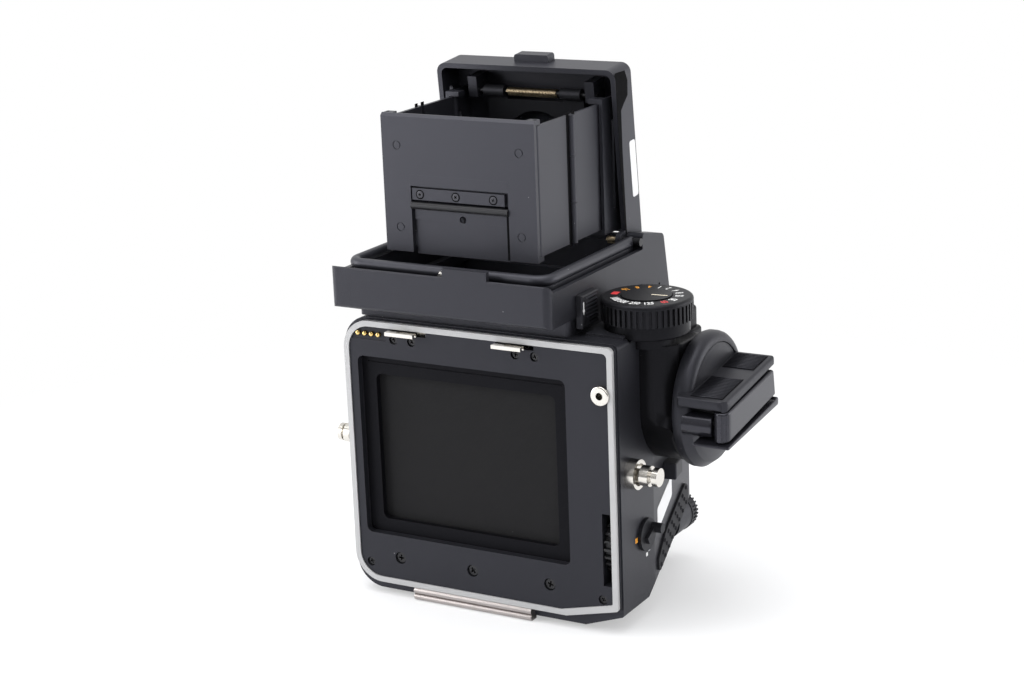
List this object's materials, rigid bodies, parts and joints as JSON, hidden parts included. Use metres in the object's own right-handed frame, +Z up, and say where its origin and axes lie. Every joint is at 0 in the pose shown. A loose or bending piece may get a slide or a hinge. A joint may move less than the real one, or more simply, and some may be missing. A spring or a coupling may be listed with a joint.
{
  "type": "medium format film camera body",
  "caption": "Boxy film camera body with an open rear film gate, folding hood finder on top, knurled dial and side crank with a fold-out handle, reflex mirror and round lens mount.",
  "frame": {"origin": "centre of the tripod socket's mouth, on the underside that the camera stands on", "axes": "+Z up, -Y out of the lens mount, +Y out of the film gate, -X towards the crank side"},
  "size_m": [0.1282, 0.0783, 0.1594],
  "materials": {
    "black_paint": "fine matte",
    "plate_paint": "fine matte",
    "hood_paint": "satin",
    "silver_trim": "satin",
    "nickel": "polished",
    "dark_steel": "blackened",
    "steel": "satin",
    "gold": "polished",
    "cloth": "woven",
    "black_plastic": "matte",
    "gloss_black": "gloss",
    "rubber": "matte",
    "ground_glass": "ground",
    "lens_glass": "polished",
    "mirror_silver": "polished"
  },
  "bodies": {
    "body": {"body_shell": "black_paint", "rear_plate": "plate_paint", "rear_trim": "silver_trim", "gate_frame": "plate_paint", "shutter_curtain": "cloth", "contact_block": "black_plastic", "contact_pins": "gold", "drive_bushing": "nickel", "film_gear_shaft": "steel", "plate_screws": "dark_steel", "hinge_bar": "nickel", "base_plate": "black_paint", "tripod_socket": "nickel", "strap_stud_left": "nickel", "strap_stud_right": "nickel", "crank_housing": "black_paint", "dial_cap": "black_plastic", "crank_catch": "black_plastic", "lens_mount_ring": "nickel", "mount_screws": "dark_steel", "mirror_pin": "steel", "focusing_screen": "ground_glass", "sync_socket": "nickel", "grip_pad": "rubber", "finder_base": "black_paint", "finder_rim": "hood_paint", "lid_pins": "steel"},
    "latch": {"latch_hooks": "nickel"},
    "gear": {"film_gear": "dark_steel"},
    "dial": {"speed_dial": "black_plastic"},
    "crank": {"crank_hub": "black_plastic", "crank_slab": "black_plastic", "crank_pins": "steel"},
    "crank_handle": {"crank_arm": "black_plastic", "crank_barrel": "gloss_black"},
    "multi_lever": {"multi_lever": "black_plastic"},
    "shutter_button": {"release_button": "gloss_black"},
    "lock_collar": {"release_collar": "black_plastic"},
    "lens_release": {"lens_release": "steel"},
    "mirror": {"mirror_carrier": "steel", "mirror_glass": "mirror_silver"},
    "finder_slider": {"finder_slider": "black_plastic"},
    "hood_release": {"hood_release": "nickel"},
    "lid": {"hood_lid": "hood_paint", "lid_catch": "hood_paint", "hood_brackets": "hood_paint", "magnifier_rod": "steel", "magnifier_spring": "gold"},
    "magnifier": {"magnifier_arm": "black_plastic", "magnifier_lens": "lens_glass"},
    "right_front_leaf": {"right_front_leaf": "hood_paint"},
    "right_rear_leaf": {"right_rear_leaf": "hood_paint"},
    "left_front_leaf": {"left_front_leaf": "hood_paint"},
    "left_rear_leaf": {"left_rear_leaf": "hood_paint"},
    "rear_wall": {"hood_rear_wall": "hood_paint", "hinge_strip": "dark_steel", "strip_screws": "dark_steel", "hinge_rod": "steel", "link_plate": "dark_steel"}
  },
  "joints": [
    {"name": "latch_slide", "type": "slide", "parent": "body", "child": "latch", "axis": [-1, 0, 0], "range_m": [0, 0.0025], "stiffness_N_per_m": 150},
    {"name": "film_gear_spin", "type": "hinge", "parent": "body", "child": "gear", "pos_m": [-0.0471, 0.0166, 0.026], "axis": [-1, 0, 0], "continuous": true},
    {"name": "speed_dial_spin", "type": "hinge", "parent": "body", "child": "dial", "pos_m": [-0.0508, 0.0063, 0.093], "axis": [0, 0, 1], "continuous": true},
    {"name": "crank_spin", "type": "hinge", "parent": "body", "child": "crank", "pos_m": [-0.06, -0.006, 0.064], "axis": [-1, 0, 0], "continuous": true},
    {"name": "crank_handle_fold", "type": "hinge", "parent": "crank", "child": "crank_handle", "pos_m": [-0.071, 0.01151, 0.0631], "axis": [1, 0, 0], "range_deg": [0, 90]},
    {"name": "multi_lever_turn", "type": "hinge", "parent": "body", "child": "multi_lever", "pos_m": [-0.051, 0.011, 0.026], "axis": [-1, 0, 0], "range_deg": [0, 60]},
    {"name": "shutter_button_press", "type": "slide", "parent": "body", "child": "shutter_button", "axis": [0, 1, 0], "range_m": [0, 0.0015], "stiffness_N_per_m": 150},
    {"name": "lock_collar_turn", "type": "hinge", "parent": "body", "child": "lock_collar", "pos_m": [-0.038, -0.038, 0.0149], "axis": [0, -1, 0], "range_deg": [0, 60]},
    {"name": "lens_release_press", "type": "slide", "parent": "body", "child": "lens_release", "axis": [0, 1, 0], "range_m": [0, 0.002], "stiffness_N_per_m": 150},
    {"name": "mirror_lift", "type": "hinge", "parent": "body", "child": "mirror", "pos_m": [0, 0.0135, 0.0675], "axis": [-1, 0, 0], "range_deg": [0, 42]},
    {"name": "finder_slider_slide", "type": "slide", "parent": "body", "child": "finder_slider", "axis": [0, 0, -1], "range_m": [0, 0.0018], "stiffness_N_per_m": 150},
    {"name": "hood_release_slide", "type": "slide", "parent": "body", "child": "hood_release", "axis": [1, 0, 0], "range_m": [0, 0.002], "stiffness_N_per_m": 150},
    {"name": "lid_fold", "type": "hinge", "parent": "body", "child": "lid", "pos_m": [0, -0.02, 0.105], "axis": [-1, 0, 0], "range_deg": [0, 84.2]},
    {"name": "magnifier_swing", "type": "hinge", "parent": "lid", "child": "magnifier", "pos_m": [0, -0.0225, 0.1476], "axis": [-1, 0, 0], "range_deg": [-90, 0]},
    {"name": "right_front_leaf_fold", "type": "hinge", "parent": "lid", "child": "right_front_leaf", "pos_m": [-0.0243, -0.017, 0.128], "axis": [0, 0, -1], "range_deg": [0, 89.1]},
    {"name": "right_mid_fold", "type": "hinge", "parent": "right_front_leaf", "child": "right_rear_leaf", "pos_m": [-0.0256, 0.00175, 0.128], "axis": [0, 0, 1], "range_deg": [0, 178.1]},
    {"name": "rear_wall_fold", "type": "hinge", "parent": "right_rear_leaf", "child": "rear_wall", "pos_m": [-0.0243, 0.0205, 0.128], "axis": [0, 0, -1], "range_deg": [0, 89.1]},
    {"name": "left_front_leaf_fold", "type": "hinge", "parent": "lid", "child": "left_front_leaf", "pos_m": [0.0243, -0.017, 0.128], "axis": [0, 0, 1], "range_deg": [0, 89.1]},
    {"name": "left_mid_fold", "type": "hinge", "parent": "left_front_leaf", "child": "left_rear_leaf", "pos_m": [0.0256, 0.00175, 0.128], "axis": [0, 0, -1], "range_deg": [0, 178.1]}
  ],
  "couplings": [
    {"joint": "right_front_leaf_fold", "follows": "lid_fold", "ratio": 1.057},
    {"joint": "right_mid_fold", "follows": "lid_fold", "ratio": 2.114},
    {"joint": "rear_wall_fold", "follows": "lid_fold", "ratio": 1.057},
    {"joint": "left_front_leaf_fold", "follows": "lid_fold", "ratio": 1.057},
    {"joint": "left_mid_fold", "follows": "lid_fold", "ratio": 2.114},
    {"joint": "film_gear_spin", "follows": "crank_spin", "ratio": 1}
  ]
}
